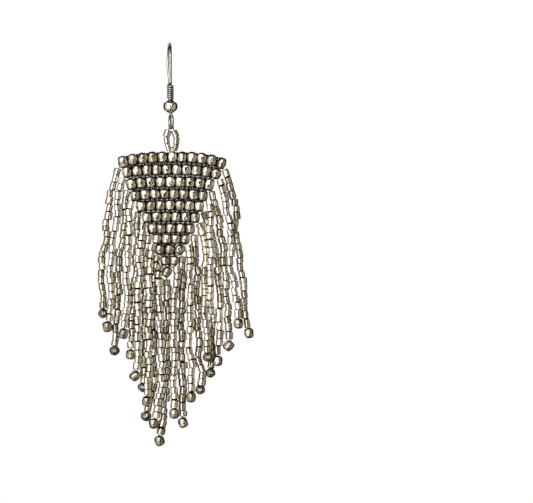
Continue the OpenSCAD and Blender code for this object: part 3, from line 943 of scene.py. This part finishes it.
# %% Lines of thread
def draw_thread(name, routes, radius, *replaced):
    """One piece from several routes, each a list of points in millimetres."""
    curve = bpy.data.curves.new(name, "CURVE")
    curve.dimensions = "3D"
    curve.bevel_depth = radius
    curve.bevel_resolution = 1
    curve.use_fill_caps = True
    for route in routes:
        spline = curve.splines.new("POLY")
        spline.points.add(len(route) - 1)
        for point, place in zip(spline.points, route):
            point.co = (*place, 1)
    piece = bpy.data.objects.new(name, curve)
    bpy.context.collection.objects.link(piece)
    take(piece)
    bpy.ops.object.convert(target="MESH")
    piece = bpy.context.object
    piece.name = name
    pick(piece, lambda p: True)
    close_up(piece)
    smooth(piece, 70)
    to_metres(piece)
    return dress(piece, "drop", "thread", *replaced)


def rounded(route, cuts=2):
    """Cuts the corners of a route a few times, so that the thread bends instead of breaking."""
    for _ in range(cuts):
        cut = [route[0]]
        for a, b in zip(route, route[1:]):
            cut += [a.lerp(b, 0.25), a.lerp(b, 0.75)]
        route = cut + [route[-1]]
    return route


def shifted(point, x, y, z):
    return point + Vector((x, y, z))


PIVOT = (0.35, -18.51)
OVER_R = 0.53
over = []
for degrees in range(190, -11, -20):
    t = math.radians(degrees)
    over.append(flat(PIVOT[0] + OVER_R * math.cos(t), PIVOT[1] + OVER_R * math.sin(t)))
foot = row_place(0, 5)
loop_route = [shifted(foot, -0.2, 0, 0.5), shifted(foot, -0.2, 0, 1.2)]
loop_route += [flat(*corner) for corner in LEFT_LEG[::-1]] + over + [flat(*corner) for corner in RIGHT_LEG]
loop_route += [shifted(foot, 0.2, 0, 1.2), shifted(foot, 0.2, 0, 0.5)]
second_route = [shifted(p, 0.05, 0.12, 0.02) for p in loop_route]
binding = []
for step in range(34):
    t = step * math.pi / 5
    binding.append(flat(0.6 + 0.45 * math.cos(t), -22.75 + 0.1 * math.sin(1.9 * step), 0.35 * math.sin(t)))
loop_thread = draw_thread(
    "loop_thread", [rounded(loop_route), rounded(second_route), binding], 0.09, "hanger_thread")
print("loop thread, mm:", size_of(loop_thread))

# %% [markdown]
# ## The stitches of the panel
# In brick stitch a thread bridges the holes of neighbouring beads at the bottom of a row. The next
# row's thread comes out of a bead, loops over a bridge and goes back into the same bead. At both ends
# the thread slants down from row to row. So there are three pieces: the stitches inside the beads, the
# thin grey bridges in front, and behind them the thick thread, painted nearly black as shade, that fills
# the gaps between the rows. Each gap is filled by a small tight knot of this thread, a dark mass that
# stands for the shade between the rows.

# %% Panel stitches
def mouth(k, i, side, out):
    """A point in or above the upper hole mouth (side 1) or the lower one (side -1) of a panel bead."""
    lean = math.radians(row_lean(k, i))
    return row_place(k, i) + side * (BEAD_H / 2 + out) * Vector((math.sin(lean), 0, math.cos(lean)))


def notch(k, i, side, out):
    """The middle between the mouths of a bead and its right neighbour."""
    return (mouth(k, i, side, out) + mouth(k, i + 1, side, out)) / 2


def knot(middle, radius=0.21, steps=20):
    """A small tight coil of thread that fills the notch between the shoulders of two beads."""
    points = []
    for step in range(steps + 1):
        t, depth = step * math.pi / 4, 0.6 * (step / steps - 0.3)
        points.append(shifted(middle, radius * math.cos(t), depth, radius * math.sin(t)))
    return points


# Under these rows the bridges stay pale and count as stitches; under the others they are painted darker grey
# as shade
PALE_ROWS = (1, 8)
LAST = len(ROWS) - 1
counts = [row[0] for row in ROWS]
stitches, bridges, wraps = [], [], []
for k, count in enumerate(counts):
    shown = stitches if k in PALE_ROWS else bridges
    stitches += [[mouth(k, i, 1, 0.02), mouth(k, i, -1, 0.02)] for i in range(count)]
    for i in range(count - 1):
        for y in (-0.22, 0.22):
            shown.append(rounded([
                mouth(k, i, -1, -0.4), shifted(mouth(k, i, -1, 0.12), 0, 1.1 * y, 0),
                shifted(notch(k, i, -1, 0.12), 0, 1.3 * y, -0.04),
                shifted(mouth(k, i + 1, -1, 0.12), 0, 1.1 * y, 0), mouth(k, i + 1, -1, -0.4)]))
        if k < LAST:
            low, middle = mouth(k + 1, i, 1, -0.3), notch(k, i, -1, 0.12)
            for way in (-1, 1):
                shown.append(rounded([
                    low, shifted(mouth(k + 1, i, 1, 0.08), 0.12 * way, -0.3, 0),
                    shifted(middle, 0.14 * way, -0.42, 0.1), shifted(middle, 0.1 * way, 0, 0.22),
                    shifted(middle, 0.12 * way, 0.42, 0.05),
                    shifted(mouth(k + 1, i, 1, 0.05), 0.1 * way, 0.3, 0), low]))
# The knots and wraps behind the panel are painted shade: near-black thread that fills the gaps between the
# rows.
for k, count in enumerate(counts):
    for i in range(count - 1):
        for side in ((-1,) if k == 0 else (-1, 1)):
            wraps.append(knot(shifted(notch(k, i, side, -0.1), 0, 0.3, 0)))
        top, low = notch(k, i, 1, -0.15), notch(k, i, -1, -0.15)
        wraps.append([shifted(top, 0, 0.3, 0), shifted(top, 0, 0.6, -0.4), shifted(low, 0, 0.6, 0.4),
                      shifted(low, 0, 0.3, 0)])
for i in range(counts[0] - 1):
    wraps.append(rounded([
        mouth(0, i, 1, -0.4), mouth(0, i, 1, -0.06), shifted(notch(0, i, 1, -0.06), 0, 0, -0.3),
        mouth(0, i + 1, 1, -0.06), mouth(0, i + 1, 1, -0.4)]))
for k in range(LAST):
    for end, under in ((0, 0), (counts[k] - 1, counts[k + 1] - 1)):
        stitches.append(rounded([mouth(k, end, -1, -0.3), mouth(k, end, -1, 0.1),
                                 mouth(k + 1, under, 1, 0.1), mouth(k + 1, under, 1, -0.3)]))
for end in (0, 1):
    stitches.append(rounded([mouth(LAST, end, -1, -0.3), mouth(LAST, end, -1, 0.15),
                             flat(-0.1 - 0.1 * end, -49.35), shifted(Vector(TIP_AT), 0.3, 0, 0.5)]))
stitch_piece = draw_thread("panel_stitches", stitches, 0.08, "panel_thread")
bridge_piece = draw_thread("panel_bridges", bridges, 0.07)
shade_wrap_piece = draw_thread("panel_shade_wraps", wraps, 0.16)
print("stitches, bridges and wraps:", len(stitches), len(bridges), len(wraps))
print("faces in the bridges:", len(bridge_piece.data.polygons))

# %% [markdown]
# ## The threads of the fringe
# A thread runs down through every string, out of its row's end bead, and at the bottom it goes through
# the end bead, round its flank and back up. It shows in the small gaps between the seed beads and at
# the end beads' holes. At the lower right, one short bare strand crosses between two strings.

# %% Threads of the strings
END_REACH = 1.12


def end_loop(name):
    """From the string's lower end through the end bead, mouth to mouth, and back round its side."""
    _, lean, tip, _ = STRINGS[name]
    middle, axis, bottom = end_middle(name), hole_axis(lean, tip), lines[name][-1]
    if axis.dot(bottom - middle) < 0:
        axis = -axis
    flank = (bottom - middle) - axis * axis.dot(bottom - middle)
    if flank.length < 0.55:
        flank = Vector((0, 1, 0)) - axis * axis.y
    flank.normalize()
    near, far, beside = middle + END_REACH * axis, middle - END_REACH * axis, middle + END_REACH * flank
    start = bottom + 0.3 * (bottom - middle).normalized()
    return rounded([start, near + 0.06 * axis, near - 0.4 * axis, far + 0.4 * axis, far - 0.05 * axis,
                    far + 0.75 * flank, beside - 0.6 * axis, beside + 0.6 * axis, start])


cores = []
for name, line in lines.items():
    if name == "tip":
        start = Vector(TIP_AT) - hole_axis(TIP_LEAN, 0)
    else:
        k = int(name[-2:]) - 1
        start = mouth(k, 0 if name.startswith("left") else counts[k] - 1, -1, -0.2)
    cores += [[start] + line[::12] + [line[-1]], end_loop(name)]
cores.append(rounded([flat(10.9, -62.3, 0.5), flat(11.3, -62.7, -0.3), flat(11.9, -62.9, -0.5),
                      flat(12.35, -64, -0.2)], 3))
fringe_thread = draw_thread("fringe_threads", cores, 0.08)
print("fringe threads, faces:", len(fringe_thread.data.polygons))

for spare in [metal_master, seed_master] + variants:
    bpy.data.objects.remove(spare)

# %% [markdown]
# ## Shared effects
# The finishes use the same few effects: patches where a surface is duller, soft dents that break up the
# reflections, and the tone and rim marks of the beads. Each is one node group with named inputs, so a
# change reaches all finishes. The patterns use the object's own coordinates, in metres, so a scale of
# 1000 means one patch per millimetre.

# %% Node groups
def new_group(name, inputs, outputs):
    """A node group with number inputs (name=value) and outputs (name=kind)."""
    group = bpy.data.node_groups.new(name, "ShaderNodeTree")
    for label, value in inputs.items():
        socket = group.interface.new_socket(label, in_out="INPUT", socket_type="NodeSocketFloat")
        socket.default_value = value
    for label, kind in outputs.items():
        group.interface.new_socket(label, in_out="OUTPUT", socket_type="NodeSocket" + kind)
    given = group.nodes.new("NodeGroupInput").outputs
    return group, given, group.nodes.new("NodeGroupOutput")


def on_piece(tree):
    return add(tree, "ShaderNodeTexCoord").outputs["Object"]


def patches_group():
    group, given, result = new_group(
        "patches", {"Scale": 800.0, "Low": 0.4, "High": 0.65, "Detail": 4.0}, {"Mask": "Float"})
    noise = add(group, "ShaderNodeTexNoise", Roughness=0.6, Vector=on_piece(group), Scale=given["Scale"],
                Detail=given["Detail"])
    set_up(group, result, Mask=fade(group, noise.outputs[0], given["Low"], given["High"]))
    return group


def dents_group():
    group, given, result = new_group(
        "soft_dents", {"Scale": 800.0, "Depth": 0.00005, "Fine Scale": 5000.0, "Fine Depth": 0.000004},
        {"Normal": "Vector"})
    place, bumps = on_piece(group), []
    for fine, detail in (("", 1.0), ("Fine ", 3.0)):
        noise = add(group, "ShaderNodeTexNoise", Detail=detail, Vector=place, Scale=given[fine + "Scale"])
        bumps.append(add(group, "ShaderNodeBump", Distance=given[fine + "Depth"], Height=noise.outputs[0]))
    set_up(group, bumps[1], Normal=bumps[0].outputs["Normal"])
    set_up(group, result, Normal=bumps[1].outputs["Normal"])
    return group


def marks_group():
    """The marks that the beads carry. Noise makes the rim's edge ragged."""
    group, given, result = new_group(
        "bead_marks", {"Rim Start": 0.2, "Rim End": 0.8}, {"Tone": "Float", "Rim": "Float"})
    tone, rim = (add(group, "ShaderNodeAttribute", attribute_name=name).outputs["Fac"]
                 for name in ("tone", "rim"))
    noise = add(group, "ShaderNodeTexNoise", Scale=2500.0, Detail=3.0, Vector=on_piece(group))
    ragged = maths(group, "SUBTRACT", maths(group, "MULTIPLY_ADD", noise.outputs[0], 0.6, rim), 0.3)
    set_up(group, result, Tone=tone, Rim=fade(group, ragged, given["Rim Start"], given["Rim End"]))
    return group


PATCHES, DENTS, MARKS = patches_group(), dents_group(), marks_group()
print("effects:", [group.name for group in (PATCHES, DENTS, MARKS)])

# %% [markdown]
# ## Building a finish
# A finish starts as the standard shader. Effects are added as group nodes, colours are mixed by their
# masks, and each mask can also drive the roughness between two values. Numbers that are the same all
# over a piece, such as how metallic it is, are set on the shader itself.

# %% Finish helpers
def new_finish(name, **numbers):
    finish = bpy.data.materials.new(name)
    finish.use_nodes = True
    tree = finish.node_tree
    return tree, set_up(tree, tree.nodes["Principled BSDF"], **numbers), finish


def effect(tree, group, **values):
    """One of the shared effects with its own values. Gives its outputs."""
    return add(tree, "ShaderNodeGroup", node_tree=group, **values).outputs


def between(tree, mask, low, high):
    """A number from low to high as the mask goes from 0 to 1."""
    return add(tree, "ShaderNodeMapRange", Value=mask, To_Min=low, To_Max=high).outputs["Result"]


def wear(finish, *pieces):
    for piece in pieces:
        piece.data.materials.clear()
        piece.data.materials.append(finish)
    print(finish.name, "on pieces:", len(pieces))


# %% [markdown]
# ## The wire, the ball and the coil
# All are nickel-white metal, polished but handled. The wire is drawn, so it is a little duller and has
# fine marks, and the ball mirrors the room. Warm tarnish sits in small patches. The coil has a finish
# of its own: its turns are bright, and the grooves between them are painted nearly black as shade.

# %% Wire, ball and coil finish
def metal_finish(name, bright, dull, patch_scale, polish, worn, dent_depth, mark_depth):
    """Patches of a duller colour, a roughness from polish to worn, soft dents and fine marks."""
    tree, shader, finish = new_finish(name, Metallic=1.0)
    patch = effect(tree, PATCHES, Scale=patch_scale, Low=0.45, High=0.72)["Mask"]
    dents = effect(tree, DENTS, Scale=900.0, Depth=dent_depth, Fine_Scale=9000.0, Fine_Depth=mark_depth)
    set_up(tree, shader, Base_Color=blend_colours(tree, patch, bright, dull),
           Roughness=between(tree, patch, polish, worn), Normal=dents["Normal"])
    return finish


def coil_finish():
    tree, shader, finish = new_finish("wound_wire", Metallic=1.0)
    groove = effect(tree, MARKS, Rim_Start=0.02, Rim_End=0.45)["Rim"]
    patch = effect(tree, PATCHES, Scale=900.0, Low=0.45, High=0.7)["Mask"]
    plain = blend_colours(tree, patch, (0.92, 0.90, 0.86), (0.72, 0.69, 0.62))
    # The groove colour is painted shade between the turns.
    set_up(tree, shader, Base_Color=blend_colours(tree, groove, plain, (0.012, 0.010, 0.008)),
           Roughness=between(tree, patch, 0.22, 0.34))
    return finish


wear(metal_finish("drawn_wire", (0.60, 0.59, 0.57), (0.42, 0.40, 0.36), 500.0, 0.2, 0.3, 3e-6, 3e-7), wire)
wear(metal_finish(
    "polished_ball", (0.90, 0.88, 0.83), (0.72, 0.67, 0.58), 700.0, 0.02, 0.05, 4e-6, 1e-6), ball)
wear(coil_finish(), coil)

# %% [markdown]
# ## The metal-finish beads
# These are glass beads with a thin baked metal layer. It is warm grey, browner where it is worn, and
# lumpy, so each bead shows a different bright shape. At the rims and where beads touch, it is painted
# nearly black as shade. The tone of each bead makes some of them darker and duller. The last two rows,
# the bead at the tip and the beads at the strings' ends are rubbed most, so they have a second, darker
# finish.

# %% Metal bead finish
def bead_finish(name, light, dark, aged):
    tree, shader, finish = new_finish(name, Metallic=1.0)
    marks = effect(tree, MARKS, Rim_Start=0.36, Rim_End=0.92)
    patch = effect(tree, PATCHES, Scale=1100.0, Low=0.42, High=0.7)["Mask"]
    dents = effect(tree, DENTS, Scale=900.0, Depth=0.00026, Fine_Scale=3600.0, Fine_Depth=0.000016)
    metal = blend_colours(tree, patch, blend_colours(tree, marks["Tone"], light, dark), aged)
    # The rim colour is painted shade: nearly black on the shoulders, in the holes and on the flanks where
    # beads meet.
    set_up(tree, shader, Base_Color=blend_colours(tree, marks["Rim"], metal, (0.07, 0.056, 0.038)),
           Roughness=between(tree, marks["Tone"], 0.025, 0.08), Normal=dents["Normal"])
    return finish


FRESH_ROWS = 8
wear(bead_finish("metal_bead", (0.83, 0.79, 0.70), (0.47, 0.435, 0.36), (0.45, 0.41, 0.33)),
     *metal_pieces[:FRESH_ROWS])
wear(bead_finish("worn_metal_bead", (0.74, 0.70, 0.61), (0.36, 0.33, 0.265), (0.33, 0.30, 0.235)),
     *metal_pieces[FRESH_ROWS:], *end_pieces)

# %% [markdown]
# ## The silver-lined beads
# These are clear glass with a silvered hole. The lining shines through the glass, so the bead looks
# like bright metal under a clear glossy coat, and the ends, where the glass is cut, look dark brown.

# %% Lined glass finish
tree, shader, glass_finish = new_finish("lined_glass", Metallic=1.0, Coat_Weight=1.0, Coat_Roughness=0.04)
marks = effect(tree, MARKS, Rim_Start=0.35, Rim_End=0.75)
patch = effect(tree, PATCHES, Scale=1500.0, Low=0.45, High=0.75)["Mask"]
dents = effect(tree, DENTS, Scale=1100.0, Depth=0.00007, Fine_Scale=5000.0, Fine_Depth=0.000004)
# The dark end of the tone is painted shade on strings further back and on the inner strings high up.
lining = blend_colours(tree, marks["Tone"], (0.95, 0.915, 0.83), (0.36, 0.305, 0.215))
aged = blend_colours(tree, patch, lining, (0.46, 0.39, 0.28))
set_up(tree, shader, Base_Color=blend_colours(tree, marks["Rim"], aged, (0.04, 0.03, 0.02)),
       Roughness=between(tree, patch, 0.1, 0.2), Normal=dents["Normal"])
wear(glass_finish, *glass_pieces)

# %% [markdown]
# ## The thread
# It is twisted nylon: fine slanting bands stand for the twist, darker between the plies. It was pale
# mauve once. The bridges under most rows are painted grey, as shade between the rows, and behind the
# panel the thread is painted nearly black and matt, as shade in the gaps. So one recipe gives three finishes.

# %% Thread finish
def thread_finish(name, dark, light, grime_and_shade, gloss=0.5):
    tree, shader, finish = new_finish(name, Roughness=0.75, Specular_IOR_Level=gloss)
    twist = add(tree, "ShaderNodeTexWave", bands_direction="DIAGONAL", Scale=1600.0, Distortion=2.0,
                Detail=2.0, Vector=on_piece(tree)).outputs["Fac"]
    patch = effect(tree, PATCHES, Scale=1800.0, Low=0.4, High=0.7)["Mask"]
    bump = add(tree, "ShaderNodeBump", Distance=0.00003, Height=twist)
    plies = blend_colours(tree, twist, dark, light)
    set_up(tree, shader, Base_Color=blend_colours(tree, patch, plies, grime_and_shade), Normal=bump.outputs["Normal"])
    return finish


wear(thread_finish("pale_thread", (0.10, 0.086, 0.095), (0.34, 0.29, 0.33), (0.15, 0.13, 0.12)),
     loop_thread, stitch_piece, fringe_thread)
# The bridges under most rows are painted darker grey, as shade between the rows.
wear(thread_finish("grey_thread", (0.05, 0.042, 0.046), (0.2, 0.17, 0.19), (0.07, 0.058, 0.055)),
     bridge_piece)
# Painted shade: the thread behind the panel is nearly black and matt.
wear(thread_finish("painted_shade_thread", (0.008, 0.007, 0.006), (0.03, 0.025, 0.024), (0.014, 0.011, 0.009), 0.1),
     shade_wrap_piece)
